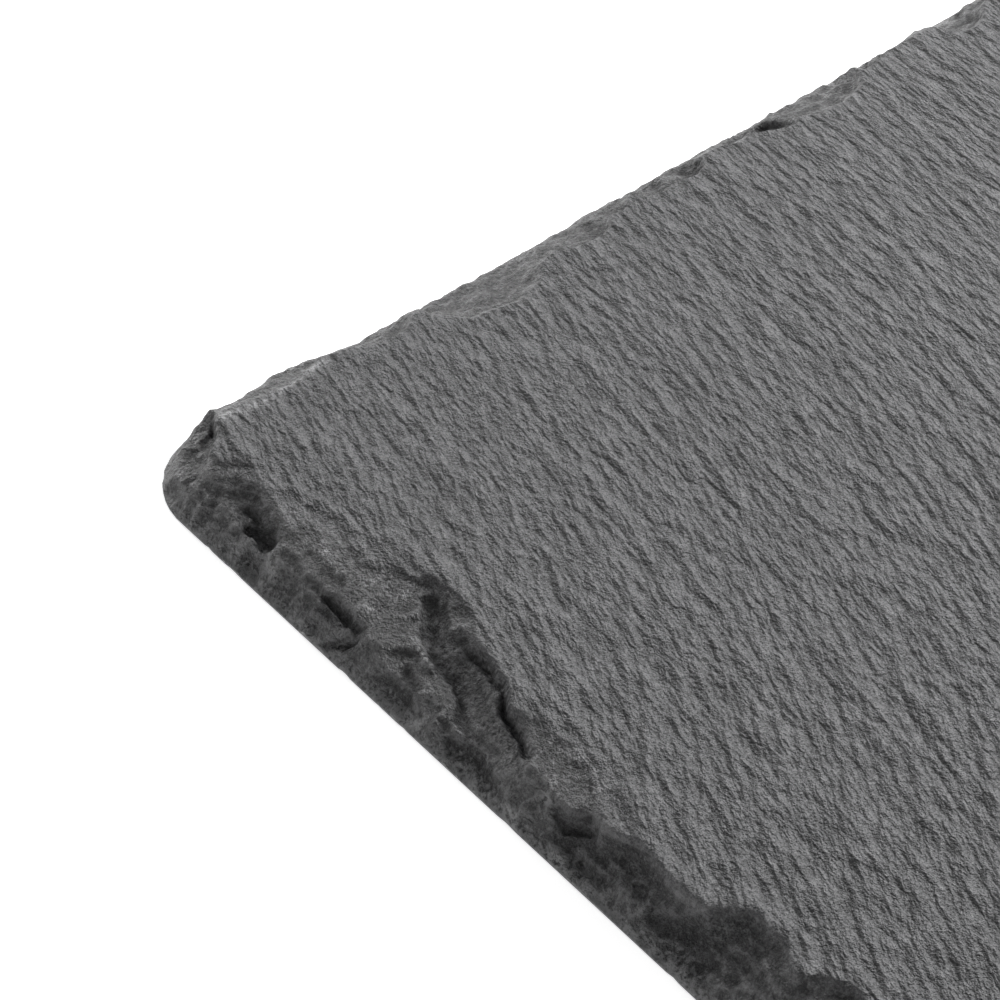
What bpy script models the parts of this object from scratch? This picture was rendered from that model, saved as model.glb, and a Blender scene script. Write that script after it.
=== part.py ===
"""A slate slab: one piece of riven slate, split flat and knapped to size along its four edges.

Metres, +Z up. The origin is at the middle of the underside, +X runs along the long side, and the slab
rests on its flat underside. The knapped edges slope outwards from the upper face to the sheared arris
of the underside, so the upper face is smaller than the lower one. Each scar is a shallow scoop that a
blow took out of the edge, and the surface at any place is the lowest of the scars, the plain bevel and
the upper face there.
"""

import math
from typing import NamedTuple

import bmesh
import bpy
import numpy as np

MM = 0.001

# Driving dimensions
LENGTH = 280 * MM
WIDTH = 180 * MM
THICKNESS = 5.5 * MM
CORNER_RADIUS = 9 * MM
LIP_HEIGHT = 0.55 * MM
LIP_WANDER = 0.35 * MM
BEVEL_WIDTH = 4.9 * MM
BEVEL_WANDER = 0.8 * MM
BEVEL_BULGE = 1.35
BEVEL_LUMP = 14 * MM
LIP_LUMP = 4 * MM

# The band of knapping, as rows of points at these insets from the arris
ROW_INSETS = [inset * MM for inset in (0.0, 0.8, 1.8, 3.0, 4.3, 5.8, 7.6, 9.8, 12.6)]
BAND = ROW_INSETS[-1]
INNER_CORNER_RADIUS = 2.5 * MM
COLUMN_SPACING = 1.9 * MM

# The scars' outlines are bent by this much, in lumps of this size, so that none is a plain oval
WARP = 0.8 * MM
WARP_LUMP = 5.5 * MM
NOISE_TABLE = 64

# Small hollows side by side all over the broken band, which fade out at the upper face
CHIP_SIZE = 4.2 * MM
CHIP_DEPTH = 0.55 * MM
CHIP_FADE = 0.8 * MM

# Cleavage steps in the scars, parallel to the upper face, which wander up and down over the slab
STEP = 0.55 * MM
STEP_SHARE = 0.5
STEP_SHARPNESS = 3
STEP_WANDER_LUMP = 23 * MM

# The band never gets thinner than this, and it is level with the upper face at its inner border
LEAST_HEIGHT = 0.3 * MM
FLAT_FROM = 0.85
FLAT_BY = 0.95

SLATE_GREY = (0.140, 0.140, 0.145, 1.0)
SLATE_ROUGHNESS = 0.72


class Scar(NamedTuple):
    """A scoop out of an edge, in millimetres: along and inward give its middle from the edge's start."""

    along: float
    inward: float
    half_length: float
    half_width: float
    turn: float
    outer_height: float
    inner_height: float
    crispness: float


class Edge(NamedTuple):
    """A side of the slab: where it starts, the way it runs and the way into the slab."""

    start: tuple
    along: tuple
    inward: tuple
    length: float


FRONT = Edge((-LENGTH / 2, -WIDTH / 2), (1, 0), (0, 1), LENGTH)
LEFT = Edge((-LENGTH / 2, -WIDTH / 2), (0, 1), (1, 0), WIDTH)
BACK = Edge((LENGTH / 2, WIDTH / 2), (-1, 0), (0, -1), LENGTH)
RIGHT = Edge((LENGTH / 2, WIDTH / 2), (0, -1), (-1, 0), WIDTH)

# The scars that the front left corner shows
CORNER_SCARS = (
    Scar(4.2, 3.8, 7.2, 3.9, -32, 2.2, 3.5, 12),
)
FRONT_SCARS = (
    Scar(11.0, 2.7, 4.5, 3.3, 2, 0.8, 3.5, 8),
    Scar(17.0, 2.3, 4.5, 2.5, 3, 0.9, 2.9, 10),
    Scar(18.6, 3.2, 2.6, 1.3, 6, 2.0, 2.3, 5),
    Scar(20.2, 0.3, 2.9, 1.3, 0, 0.3, 1.0, 6),
    Scar(27.5, 2.8, 8.5, 6.0, 8, 2.0, 4.8, 3),
    Scar(34.0, 6.5, 5.5, 5.2, 30, 3.9, 5.0, 6),
    Scar(32.5, 1.5, 5.0, 2.4, 2, 1.1, 3.0, 10),
    Scar(28.5, 0.6, 2.9, 1.3, 6, 0.4, 1.3, 6),
    Scar(38.8, 7.2, 5.8, 4.2, -22, 3.8, 4.8, 10),
    Scar(40.4, 3.1, 1.8, 0.9, 6, 2.2, 2.6, 4),
    Scar(48.3, 3.2, 11.5, 4.4, -20, 1.4, 3.9, 10),
    Scar(42.5, 0.9, 4.5, 1.7, 4, 0.5, 1.8, 6),
    Scar(53.5, 1.1, 5.0, 1.9, -8, 0.5, 1.7, 8),
    Scar(61.5, 4.5, 5.6, 3.7, -6, 3.7, 4.9, 8),
    Scar(68.0, 0.9, 6.5, 2.3, -3, 0.5, 2.3, 9),
    Scar(73.5, 2.4, 5.6, 2.3, -4, 2.0, 3.8, 8),
    Scar(79.5, 1.0, 5.2, 2.4, 4, 0.6, 2.6, 8),
)
LEFT_SCARS = (
    Scar(13.5, 0.6, 5.5, 3.4, 3, 0.9, 4.3, 6),
    Scar(22.5, 0.8, 5.0, 3.8, -4, 0.7, 4.2, 6),
    Scar(30.5, 1.0, 5.2, 5.2, 6, 0.8, 4.6, 6),
    Scar(36.5, 0.4, 3.2, 3.0, -8, 0.5, 3.2, 7),
    Scar(44.0, 3.4, 6.8, 5.4, 5, 1.4, 5.0, 7),
    Scar(48.5, 0.9, 4.0, 3.0, -10, 0.5, 3.4, 6),
    Scar(56.5, 1.6, 5.6, 4.4, 3, 1.0, 4.5, 8),
    Scar(63.6, 2.2, 3.6, 3.2, -4, 3.0, 4.4, 8),
    Scar(68.8, 3.0, 2.8, 4.2, -18, 1.6, 4.4, 8),
    Scar(73.4, 4.0, 3.6, 3.4, 12, 3.2, 4.6, 9),
    Scar(77.5, 0.6, 1.6, 1.5, 25, 0.4, 1.6, 6),
    Scar(82.0, 1.0, 4.0, 4.6, -4, 0.8, 4.4, 6),
    Scar(88.0, 3.2, 4.4, 3.2, 14, 1.4, 3.2, 10),
    Scar(96.5, 3.0, 6.5, 4.8, 4, 1.2, 4.8, 7),
)
# Where the knapping that is worked out by rule begins and ends on each side, and its seed
KNAPPED_RUNS = (
    (FRONT, 85.0, 274.0, 11),
    (LEFT, 106.0, 174.0, 12),
    (BACK, 6.0, 274.0, 13),
    (RIGHT, 6.0, 174.0, 14),
)


def knapped_run(begin, end, seed):
    """Scars along a stretch of edge: a row of broad ones, and smaller and lower ones over them."""
    rng = np.random.default_rng(seed)
    scars = []
    for pace, size, reach, crispness in ((7.0, 6.0, 4.6, 8), (8.0, 3.6, 2.4, 7)):
        along = begin + pace * rng.uniform(0.2, 0.8)
        while along < end:
            spread = rng.uniform(0.6, 1.5)
            depth = reach * rng.uniform(0.7, 1.5)
            turn = rng.uniform(-16, 16)
            outer = rng.uniform(0.5, 1.2)
            inner = min(4.9, depth * rng.uniform(0.62, 0.95))
            scars.append(
                Scar(along, 0.3 * depth, size * spread, 0.85 * depth, turn, outer, inner, crispness)
            )
            along += pace * spread * rng.uniform(0.8, 1.5)
    return scars


def all_scars():
    """Every scar with the side that it belongs to."""
    found = [(FRONT, scar) for scar in CORNER_SCARS + FRONT_SCARS]
    found += [(LEFT, scar) for scar in LEFT_SCARS]
    for edge, begin, end, seed in KNAPPED_RUNS:
        found += [(edge, scar) for scar in knapped_run(begin, end, seed)]
    return found


def lumps(x, y, size, seed):
    """A smooth random field from -1 to 1, whose lumps are about one size across."""
    table = np.random.default_rng(seed).uniform(-1, 1, (NOISE_TABLE, NOISE_TABLE))
    column = np.floor(x / size).astype(int)
    row = np.floor(y / size).astype(int)
    across = x / size - column
    up = y / size - row
    across = across * across * (3 - 2 * across)
    up = up * up * (3 - 2 * up)

    def corner(right, above):
        return table[(column + right) % NOISE_TABLE, (row + above) % NOISE_TABLE]

    low = corner(0, 0) * (1 - across) + corner(1, 0) * across
    high = corner(0, 1) * (1 - across) + corner(1, 1) * across
    return low * (1 - up) + high * up


def hollows(x, y, size, seed):
    """A field of shell-like hollows about one size across: 0 in their middles, 1 on high ridges."""
    table = np.random.default_rng(seed).uniform(0, 1, (NOISE_TABLE, NOISE_TABLE, 2))
    column = np.floor(x / size).astype(int)
    row = np.floor(y / size).astype(int)
    nearest = np.ones(np.shape(x))
    for right in (-1, 0, 1):
        for above in (-1, 0, 1):
            middle = table[(column + right) % NOISE_TABLE, (row + above) % NOISE_TABLE]
            away_x = x / size - (column + right) - middle[..., 0]
            away_y = y / size - (row + above) - middle[..., 1]
            nearest = np.minimum(nearest, away_x**2 + away_y**2)
    return nearest


def inset_of(x, y):
    """How far in from the slab's outline each place is."""
    out_x = np.abs(x) - (LENGTH / 2 - CORNER_RADIUS)
    out_y = np.abs(y) - (WIDTH / 2 - CORNER_RADIUS)
    beyond = np.hypot(np.maximum(out_x, 0), np.maximum(out_y, 0))
    return CORNER_RADIUS - beyond - np.minimum(np.maximum(out_x, out_y), 0)


def bevel_height(x, y):
    """The plain bevel that the scars are cut into: it rises from the lip, steeply at first."""
    width = BEVEL_WIDTH + BEVEL_WANDER * lumps(x, y, BEVEL_LUMP, 3)
    lip = LIP_HEIGHT + LIP_WANDER * lumps(x, y, LIP_LUMP, 4)
    share = np.clip(inset_of(x, y) / width, 0, 1)
    return lip + (THICKNESS - lip) * (1 - (1 - share) ** BEVEL_BULGE)


def scar_height(edge, scar, x, y):
    """The floor and walls of one scar."""
    rel_x = x - edge.start[0]
    rel_y = y - edge.start[1]
    along = rel_x * edge.along[0] + rel_y * edge.along[1] - scar.along * MM
    inward = rel_x * edge.inward[0] + rel_y * edge.inward[1] - scar.inward * MM
    turn = math.radians(scar.turn)
    p = (along * math.cos(turn) + inward * math.sin(turn)) / (scar.half_length * MM)
    q = (inward * math.cos(turn) - along * math.sin(turn)) / (scar.half_width * MM)
    middle = (scar.outer_height + scar.inner_height) / 2 * MM
    slope = (scar.inner_height - scar.outer_height) / 2 * MM
    wall = THICKNESS - scar.inner_height * MM
    return middle + slope * np.clip(q, -1.5, 1) + wall * np.minimum(np.hypot(p, q), 2) ** scar.crispness


def stepped(height, x, y):
    """Draws the height part of the way to the nearest cleavage steps."""
    lift = STEP * lumps(x, y, STEP_WANDER_LUMP, 5)
    level = (height + lift) / STEP
    part = level - np.floor(level)
    ledge = part**STEP_SHARPNESS / (part**STEP_SHARPNESS + (1 - part) ** STEP_SHARPNESS)
    return height + STEP_SHARE * STEP * (ledge - part)


def upper_height(x, y):
    """How high the slab's upper side is at each place."""
    bent_x = x + WARP * lumps(x, y, WARP_LUMP, 1)
    bent_y = y + WARP * lumps(x, y, WARP_LUMP, 2)
    height = bevel_height(x, y)
    for edge, scar in all_scars():
        height = np.minimum(height, scar_height(edge, scar, bent_x, bent_y))
    broken = np.clip((THICKNESS - height) / CHIP_FADE, 0, 1)
    height = height - broken * CHIP_DEPTH * (0.5 - hollows(bent_x, bent_y, CHIP_SIZE, 6))
    height = np.maximum(stepped(height, x, y), LEAST_HEIGHT)
    flat = np.clip((inset_of(x, y) / BAND - FLAT_FROM) / (FLAT_BY - FLAT_FROM), 0, 1)
    return np.minimum(height * (1 - flat) + THICKNESS * flat, THICKNESS)


def rounded_outline(inset, radius, per_side, per_corner):
    """Points round a rounded rectangle, anticlockwise from the front side, as an array of x and y."""
    half_x = LENGTH / 2 - inset - radius
    half_y = WIDTH / 2 - inset - radius
    long_count, short_count = per_side
    sides = (
        (1, -1, 0, long_count),
        (1, 1, 90, short_count),
        (-1, 1, 180, long_count),
        (-1, -1, 270, short_count),
    )
    points = []
    for end_x, end_y, heading, count in sides:
        way = math.radians(heading)
        length = 2 * (half_x if heading % 180 == 0 else half_y)
        edge_x = end_x * half_x + radius * math.sin(way)
        edge_y = end_y * half_y - radius * math.cos(way)
        for step in range(count):
            back = length * (1 - step / count)
            points.append((edge_x - back * math.cos(way), edge_y - back * math.sin(way)))
        for step in range(per_corner):
            turned = way + math.radians(90) * step / per_corner
            corner_x = end_x * half_x + radius * math.sin(turned)
            corner_y = end_y * half_y - radius * math.cos(turned)
            points.append((corner_x, corner_y))
    return np.array(points)


def band_grid():
    """The plan of the knapped band: one row of points for each inset, all with as many columns."""
    per_side = [round((side - 2 * CORNER_RADIUS) / COLUMN_SPACING) for side in (LENGTH, WIDTH)]
    per_corner = round(math.radians(90) * CORNER_RADIUS / COLUMN_SPACING)
    outer = rounded_outline(0.0, CORNER_RADIUS, per_side, per_corner)
    inner = rounded_outline(BAND, INNER_CORNER_RADIUS, per_side, per_corner)
    return [outer + (inner - outer) * (inset / BAND) for inset in ROW_INSETS]


def slab_mesh():
    """The closed surface: underside, lip, knapped band and the flat middle of the upper face."""
    rows = band_grid()
    shape = bmesh.new()
    rings = [[shape.verts.new((x, y, 0.0)) for x, y in rows[0]]]
    for row in rows:
        heights = upper_height(row[:, 0], row[:, 1])
        rings.append([shape.verts.new((x, y, z)) for (x, y), z in zip(row, heights)])
    for lower, upper in zip(rings, rings[1:]):
        for here in range(len(lower)):
            after = (here + 1) % len(lower)
            shape.faces.new((lower[here], lower[after], upper[after], upper[here]))
    shape.faces.new(rings[-1])
    shape.faces.new(rings[0][::-1])
    bmesh.ops.triangulate(shape, faces=shape.faces[:], quad_method="SHORT_EDGE")
    mesh = bpy.data.meshes.new("slate_slab")
    shape.to_mesh(mesh)
    shape.free()
    return mesh


def slate_material():
    """Plain slate: dark grey, dull, not metallic."""
    material = bpy.data.materials.new("slate")
    material.use_nodes = True
    finish = material.node_tree.nodes["Principled BSDF"]
    finish.inputs["Base Color"].default_value = SLATE_GREY
    finish.inputs["Roughness"].default_value = SLATE_ROUGHNESS
    finish.inputs["Metallic"].default_value = 0.0
    return material


def main():
    for leftover in list(bpy.data.objects):
        bpy.data.objects.remove(leftover, do_unlink=True)
    mesh = slab_mesh()
    mesh.materials.append(slate_material())
    slab = bpy.data.objects.new("slate_slab", mesh)
    bpy.context.scene.collection.objects.link(slab)


main()
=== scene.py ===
"""The looks of a slate slab: riven upper face, knapped edges, and the stage that it is seen on.

Metres, +Z up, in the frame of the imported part. The slab is one piece of stone. Its surface is a height over
the plan: the lowest of the upper face, the plain bevel and the scars that blows took out of the edges. A
Geometry Nodes tree then carves the ripples that the split stone shows along its grain.
"""

import math
from typing import NamedTuple

import bpy
import numpy as np
from bpy.props import FloatProperty, FloatVectorProperty, IntProperty, PointerProperty
from mathutils import Matrix, Vector


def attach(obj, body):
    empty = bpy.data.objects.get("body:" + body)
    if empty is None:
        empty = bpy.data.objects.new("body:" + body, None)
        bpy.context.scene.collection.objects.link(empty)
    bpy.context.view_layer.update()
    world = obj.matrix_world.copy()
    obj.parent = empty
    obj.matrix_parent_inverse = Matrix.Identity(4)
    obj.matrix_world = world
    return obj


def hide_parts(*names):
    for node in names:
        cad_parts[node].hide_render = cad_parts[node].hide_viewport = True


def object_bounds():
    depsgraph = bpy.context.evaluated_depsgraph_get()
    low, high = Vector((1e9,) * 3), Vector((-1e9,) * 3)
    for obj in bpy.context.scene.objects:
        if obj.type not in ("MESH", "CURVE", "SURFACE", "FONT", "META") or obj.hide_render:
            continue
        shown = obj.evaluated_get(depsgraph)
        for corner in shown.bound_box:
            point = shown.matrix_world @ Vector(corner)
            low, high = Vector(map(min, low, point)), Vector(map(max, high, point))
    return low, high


bl_info = {
    "name": "Slate slab",
    "version": (1, 0, 0),
    "blender": (4, 5, 0),
    "location": "3D View > Sidebar > Slate",
    "description": "Builds a riven slate slab with knapped edges and a stage for it",
    "category": "Object",
}

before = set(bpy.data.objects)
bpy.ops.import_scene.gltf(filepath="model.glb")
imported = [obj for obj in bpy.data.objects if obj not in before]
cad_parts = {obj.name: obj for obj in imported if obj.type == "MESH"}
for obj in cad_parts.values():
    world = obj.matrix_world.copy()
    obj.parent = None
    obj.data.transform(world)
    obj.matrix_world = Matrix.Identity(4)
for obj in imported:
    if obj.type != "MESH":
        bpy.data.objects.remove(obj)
CAD_LOW, CAD_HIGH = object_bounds()
NODE = "slate_slab"

MM = 0.001
LENGTH = CAD_HIGH.x - CAD_LOW.x
WIDTH = CAD_HIGH.y - CAD_LOW.y
THICKNESS = CAD_HIGH.z - CAD_LOW.z

# The slab's plan and bevel
CORNER_RADIUS = 9 * MM
LIP_HEIGHT = 0.55 * MM
LIP_WANDER = 0.35 * MM
LIP_LUMP = 4 * MM
LIP_SEED = 4
BEVEL_WIDTH = 4.9 * MM
BEVEL_WANDER = 0.8 * MM
BEVEL_LUMP = 14 * MM
BEVEL_SEED = 3
BEVEL_BULGE = 1.35

# Where the bevel is narrower beside the front left corner: the distance from the left side and from the
# front, the size of the stretch and by how much
SPURS = ((2.0 * MM, 9.6 * MM, 3.5 * MM, 3.3 * MM), (1.5 * MM, 17.0 * MM, 7.0 * MM, 2.9 * MM))

# The knapped band, and the shares of it over which the surface levels out to the flat middle
BAND = 12.6 * MM
FLAT_FROM = 0.85
FLAT_BY = 0.95

# Squares of the coarsest grid along the flat middle's long and short sides. The upper middle has twice
# as many each way, and the knapped band four times as many along its border.
LONG_SQUARES = 212
SHORT_SQUARES = 128
BAND_ROWS = 42
UNDER_ROWS = 8

# How far lumps bend the scars' outlines, and how deep the hollows in the broken stone are. Each row also
# has the size across and the seed.
WARPS = ((0.8 * MM, 5.5 * MM, 1), (0.42 * MM, 1.9 * MM, 21), (0.14 * MM, 0.7 * MM, 31))
CHIPS = ((0.22 * MM, 4.2 * MM, 6), (0.42 * MM, 1.9 * MM, 26), (0.16 * MM, 0.8 * MM, 36))
CHIP_FADE = 0.8 * MM
CHIP_LEVEL = 0.5

# The broken stone crumbles this deep at the rim, and less the farther in it is
CRUMBLE = 1.1 * MM
CRUMBLE_SIZE = 1.5 * MM
CRUMBLE_REACH = 4.5 * MM
CRUMBLE_LEVEL = 0.4
CRUMBLE_SEED = 46
NOISE_TABLE = 64

# The rim of a scar is rounded over, more where its walls are not crisp
ROUNDING = 6 * MM

# Cleavage steps, parallel to the upper face: height, share of the way that the stone is drawn to them,
# sharpness, size of the lumps that shift them and seed
STEPS = ((0.75 * MM, 0.5, 4, 12 * MM, 5), (0.3 * MM, 0.4, 3, 7 * MM, 25))
LEAST_HEIGHT = 0.3 * MM

# A scar has no say beyond this many of its half sizes, its floor slopes down to this many half widths
# outwards, and heights are blurred over this distance
SCAR_REACH = 2.0
FLOOR_REACH = 1.5
BLUR = 0.13 * MM

# The upper face sags by this much in broad waves
SAG = 0.12 * MM
SAG_LUMP = 17 * MM
SAG_SEED = 41

# The arris has nicks of up to this depth where the lumps rise above a level
NICK = 0.28 * MM
NICK_LUMP = 1.8 * MM
NICK_LEVEL = 0.35
NICK_SEED = 31

# The underside's low lumps, and the rows of squares over which they begin behind the arris
UNDER_RELIEF = 0.1 * MM
UNDER_LUMP = 3 * MM
UNDER_SEED = 51
UNDER_EASE = 3

# How far round a place its ridges are judged, and the height of a full ridge
RIDGE_REACH = 0.45 * MM
RIDGE_HEIGHT = 0.12 * MM

# The split face is whole down to this depth, and broken stone has replaced it this much deeper
WHOLE_DEPTH = 0.15 * MM
WHOLE_FADE = 0.85 * MM

# Places under this height and this far in are the underside, and the low arris ends at the last height
UNDER_TOP = 0.25 * MM
UNDER_INSET = 1 * MM
LOW_HEIGHT = 1.6 * MM

# The grain runs along the slab, turned a little, and bends over its length
GRAIN_TURN = math.radians(-31.0)
GRAIN_BEND = 1.45

# The ripples of the mesh: their detail, roughness and distortion, the level that stays in place, how
# much of their height shows and the least height of the upper side
RIPPLE_DETAIL = 3.0
RIPPLE_ROUGH = 0.55
RIPPLE_DISTORTION = 0.35
RIPPLE_LEVEL = 0.85
RIPPLE_GAIN = 2.0
SEED_STRIDE = 1.37
UPPER_SIDE = 0.4 * THICKNESS

MOST_TRIANGLES = 195000
SHARP_ANGLE = math.radians(65)


class Scar(NamedTuple):
    """A scoop out of an edge, in millimetres: along and inward give its middle from the edge's start."""

    along: float
    inward: float
    half_length: float
    half_width: float
    turn: float
    outer_height: float
    inner_height: float
    crispness: float


class Edge(NamedTuple):
    """A side of the slab: where it starts, the way it runs and the way into the slab."""

    start: tuple
    along: tuple
    inward: tuple


FRONT = Edge((-LENGTH / 2, -WIDTH / 2), (1, 0), (0, 1))
LEFT = Edge((-LENGTH / 2, -WIDTH / 2), (0, 1), (1, 0))
BACK = Edge((LENGTH / 2, WIDTH / 2), (-1, 0), (0, -1))
RIGHT = Edge((LENGTH / 2, WIDTH / 2), (0, -1), (-1, 0))

# The scars round the front left corner and along the two sides that meet there
CORNER_SCARS = (
    Scar(2.4, 5.5, 7.2, 3.4, -30, 2.2, 3.6, 14),
)
FRONT_SCARS = (
    Scar(11.0, 2.5, 5.2, 3.8, 2, 1.9, 4.9, 3),
    Scar(17.4, 4.1, 4.6, 1.7, -4, 3.1, 4.1, 3),
    Scar(18.6, 3.2, 2.6, 1.3, 6, 2.0, 2.3, 5),
    Scar(20.2, 0.3, 2.9, 1.3, 0, 0.3, 1.0, 6),
    Scar(26.5, 2.2, 9.0, 5.4, 6, 3.3, 5.2, 2),
    Scar(34.5, 5.0, 6.2, 4.5, 20, 4.0, 5.15, 2.5),
    Scar(32.5, 2.1, 5.0, 2.2, 4, 1.9, 3.4, 6),
    Scar(28.5, 0.6, 2.9, 1.3, 6, 0.4, 1.3, 6),
    Scar(38.8, 7.0, 6.2, 4.4, -22, 3.7, 4.8, 3),
    Scar(49.2, 5.4, 13.2, 2.1, -19.5, 2.3, 4.4, 8),
    Scar(47.5, 2.0, 10.5, 3.8, -18, 1.6, 3.6, 3),
    Scar(42.5, 0.9, 4.5, 1.7, 4, 0.5, 1.8, 6),
    Scar(53.5, 1.1, 5.0, 1.9, -8, 0.5, 1.7, 8),
    Scar(61.9, 4.1, 5.8, 4.0, -6, 4.0, 5.3, 3),
    Scar(68.0, 0.9, 6.5, 2.6, -3, 0.6, 2.8, 5),
    Scar(73.5, 2.4, 5.6, 2.3, -4, 2.0, 3.8, 8),
    Scar(79.5, 1.0, 5.2, 2.4, 4, 0.6, 2.6, 8),
)
LEFT_SCARS = (
    Scar(16.8, 1.2, 10.0, 3.6, -3, 3.8, 5.0, 5),
    Scar(13.5, -0.6, 4.5, 1.9, 3, 0.9, 3.6, 6),
    Scar(22.5, -0.4, 5.0, 2.2, -4, 0.7, 3.6, 6),
    Scar(30.5, 1.0, 5.2, 5.2, 6, 0.8, 4.6, 6),
    Scar(36.5, 0.4, 3.2, 3.0, -8, 0.5, 3.2, 7),
    Scar(44.0, 3.8, 6.8, 6.2, 5, 1.3, 5.0, 7),
    Scar(50.0, 2.6, 5.4, 4.8, -6, 0.8, 4.7, 7),
    Scar(57.0, 2.2, 6.0, 5.2, 3, 0.9, 4.7, 8),
    Scar(63.6, 2.4, 3.8, 3.6, -4, 2.2, 4.4, 8),
    Scar(68.8, 3.0, 2.8, 4.2, -18, 1.6, 4.4, 8),
    Scar(73.4, 4.0, 3.6, 3.4, 12, 3.2, 4.6, 9),
    Scar(77.5, 0.6, 1.6, 1.5, 25, 0.4, 1.6, 6),
    Scar(82.0, 1.0, 4.0, 4.6, -4, 0.8, 4.4, 6),
    Scar(88.0, 3.2, 4.4, 3.2, 14, 1.4, 3.2, 10),
    Scar(96.5, 3.0, 6.5, 4.8, 4, 1.2, 4.8, 7),
)
# Narrow cracks and undercut walls in the front scars
CRACKS = (
    Scar(22.0, 0.7, 2.4, 0.5, 2, 0.4, 0.7, 4),
    Scar(32.0, 3.3, 4.4, 0.5, 3, 1.7, 2.3, 4),
    Scar(34.0, 1.6, 3.0, 0.5, 30, 0.9, 1.3, 4),
    Scar(17.8, 4.2, 3.8, 0.5, -2, 2.5, 3.0, 3),
    Scar(3.9, 8.1, 1.9, 0.3, -40, 2.6, 3.0, 4),
    Scar(46.5, 8.1, 4.5, 0.45, -9, 3.2, 3.8, 4),
    Scar(54.0, 5.7, 4.4, 0.45, -24, 2.8, 3.4, 4),
    Scar(52.0, 1.9, 2.4, 0.5, 23, 0.9, 1.3, 4),
    Scar(64.9, 2.6, 3.3, 0.6, 15, 1.6, 2.2, 4),
    Scar(68.5, 0.9, 3.0, 0.8, 5, 0.5, 0.9, 4),
)
# Pale bruises in the front scars: where each begins and ends, along and inward in millimetres
BRUISES = (
    (4.2, 9.2, 5.1, 14.8),
    (5.1, 14.8, 4.2, 22.5),
    (34.8, 8.3, 34.1, 10.3),
    (31.4, 6.4, 31.7, 7.9),
    (32.9, 7.5, 34.3, 7.8),
    (61.5, 2.5, 60.6, 4.3),
    (59.0, 7.1, 60.7, 7.3),
    (64.4, 5.2, 64.4, 6.4),
    (44.3, 0.4, 45.9, 0.8),
    (44.5, 3.2, 46.2, 3.2),
    (58.6, 0.7, 59.8, 0.4),
    (51.4, 0.3, 52.8, 0.6),
    (19.4, 2.8, 21.4, 2.6),
    (21.3, 2.1, 23.3, 1.6),
    (16.6, 1.3, 17.8, 1.0),
    (25.3, 5.8, 26.8, 5.9),
    (39.6, 6.1, 41.9, 4.9),
    (32.8, 4.6, 34.1, 5.0),
    (64.9, 0.3, 65.9, 0.5),
    (54.6, 0.3, 55.6, 0.6),
    (28.5, 0.4, 29.7, 0.2),
    (40.9, 6.9, 43.4, 8.0),
)
BRUISE_WIDTH = 0.38 * MM
# Where the knapping that is worked out by rule begins and ends on each side, in millimetres, and its seed
KNAPPED_RUNS = (
    (FRONT, 85.0, 274.0, 11),
    (LEFT, 106.0, 174.0, 12),
    (BACK, 6.0, 274.0, 13),
    (RIGHT, 6.0, 174.0, 14),
)

# Its rows of scars, in millimetres: from one to the next, half length, reach inwards, and crispness
KNAPPED_ROWS = ((7.0, 6.0, 4.6, 8), (8.0, 3.6, 2.4, 7))

# The least and greatest of what is drawn for each scar: the start and the gaps as shares of the distance
# from one to the next, the length and reach as shares of the row's, the turn in degrees, the outer height
# in millimetres, and the inner height as a share of the reach
START_SHARES = (0.2, 0.8)
GAP_SHARES = (0.8, 1.5)
LENGTH_SHARES = (0.6, 1.5)
REACH_SHARES = (0.7, 1.5)
TURNS = (-16, 16)
OUTER_HEIGHTS = (0.5, 1.2)
INNER_SHARES = (0.62, 0.95)
HIGHEST_INNER = 4.9
MIDDLE_SHARE = 0.3
WIDTH_SHARE = 0.85


def length_field(name, description, default, least=0.0):
    """A property that holds a length."""
    return FloatProperty(
        name=name, description=description, default=default, min=least, unit="LENGTH", precision=5
    )


def colour_field(name, description, default):
    """A property that holds a colour."""
    return FloatVectorProperty(
        name=name, description=description, default=default, min=0.0, max=1.0, size=3, subtype="COLOR"
    )


class SlateSizes(bpy.types.PropertyGroup):
    """Sizes of the stone's relief that a user would change."""

    ripple_height: length_field("Ripple height", "How high the ripples of the split face stand", 0.2 * MM)
    ripple_spacing: length_field(
        "Ripple spacing", "Distance from one broad ripple to the next, across the grain", 2.6 * MM, 0.1 * MM
    )
    streak_length: length_field(
        "Streak length", "How long the ripples run along the grain", 5.5 * MM, 0.1 * MM
    )
    fine_relief: length_field(
        "Fine relief", "Height of the finest ripples and the stone's own grain", 2.0 * MM
    )
    seed: IntProperty(name="Seed", description="Another number gives other ripples", default=4)


class SlateColours(bpy.types.PropertyGroup):
    """Colours of the stone and the floor."""

    face: colour_field("Face", "Colour of the split face", (0.140, 0.140, 0.144))
    # The hollow colour is painted shade: the split face is darkened towards it between the ripples.
    hollow: colour_field("Hollow", "Colour between the ripples", (0.062, 0.062, 0.064))
    broken: colour_field("Broken", "Colour of the fresh broken stone in the scars", (0.068, 0.068, 0.069))
    bruise: colour_field(
        "Bruise", "Colour of crushed stone on ridges and along the arris", (0.23, 0.23, 0.234)
    )
    floor: colour_field("Floor", "Colour of the floor", (0.93, 0.93, 0.93))


def knapped_run(begin, end, seed):
    """Scars along a stretch of edge: a row of broad ones, and smaller and lower ones over them."""
    rng = np.random.default_rng(seed)
    scars = []
    for pace, size, reach, crispness in KNAPPED_ROWS:
        along = begin + pace * rng.uniform(*START_SHARES)
        while along < end:
            spread = rng.uniform(*LENGTH_SHARES)
            depth = reach * rng.uniform(*REACH_SHARES)
            turn = rng.uniform(*TURNS)
            outer = rng.uniform(*OUTER_HEIGHTS)
            inner = min(HIGHEST_INNER, depth * rng.uniform(*INNER_SHARES))
            middle = MIDDLE_SHARE * depth
            half_width = WIDTH_SHARE * depth
            scars.append(Scar(along, middle, size * spread, half_width, turn, outer, inner, crispness))
            along += pace * spread * rng.uniform(*GAP_SHARES)
    return scars


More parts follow.
